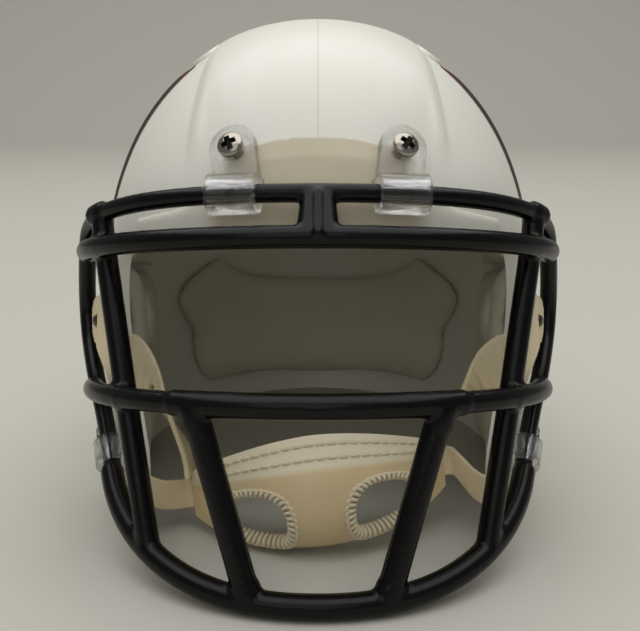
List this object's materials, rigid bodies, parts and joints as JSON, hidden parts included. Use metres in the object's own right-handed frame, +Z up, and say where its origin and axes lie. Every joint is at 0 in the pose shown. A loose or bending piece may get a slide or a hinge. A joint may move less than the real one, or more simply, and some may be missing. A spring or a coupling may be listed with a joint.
{
  "type": "football helmet",
  "caption": "Open-faced helmet with a raised crown band, a moulded cage guard on clear clips, foam pads inside and a snapped chin strap.",
  "frame": {"origin": "middle of the standing helmet's bounding box, at the level it rests on", "axes": "+Z up, -Y towards the face opening and its guard, +X towards the wearer's left"},
  "size_m": [0.1264, 0.1707, 0.1252],
  "materials": {
    "shell_gloss": "gloss pearl white",
    "bumper_vinyl": "smooth cream vinyl",
    "guard_black": "gloss black, moulded",
    "clear_clip": "clear, polished",
    "screw_steel": "bright nickel plate",
    "stud_metal": "dull nickel plate",
    "foam_pad": "soft grey-white foam with a smooth skin",
    "strap_vinyl": "soft cream vinyl, stitched",
    "cap_black": "gloss black"
  },
  "bodies": {
    "helmet": {"shell": "shell_gloss", "brow_bumper": "bumper_vinyl", "nape_bumper": "bumper_vinyl", "facemask": "guard_black", "top_clip_left": "clear_clip", "top_clip_right": "clear_clip", "side_clip_left": "clear_clip", "side_clip_right": "clear_clip", "top_screws": "screw_steel", "side_screws": "screw_steel", "clip_nuts": "stud_metal", "crown_pad": "foam_pad", "brow_pad": "foam_pad", "rear_pad": "foam_pad", "temple_pad_left": "foam_pad", "temple_pad_right": "foam_pad", "jaw_pad_left": "foam_pad", "jaw_pad_right": "foam_pad", "upper_leg_left": "strap_vinyl", "upper_leg_right": "strap_vinyl", "lower_leg_left": "strap_vinyl", "lower_leg_right": "strap_vinyl", "snap_studs": "stud_metal", "snap_caps": "cap_black"},
    "chin_cup": {"chin_cup": "strap_vinyl"}
  },
  "joints": [
    {"name": "chin_cup_tilt", "type": "hinge", "parent": "helmet", "child": "chin_cup", "pos_m": [0, -0.03915, 0.013], "axis": [0.9925, 0.0295, 0.1183], "range_deg": [-10, 4], "stiffness_Nm_per_rad": 0.02}
  ]
}
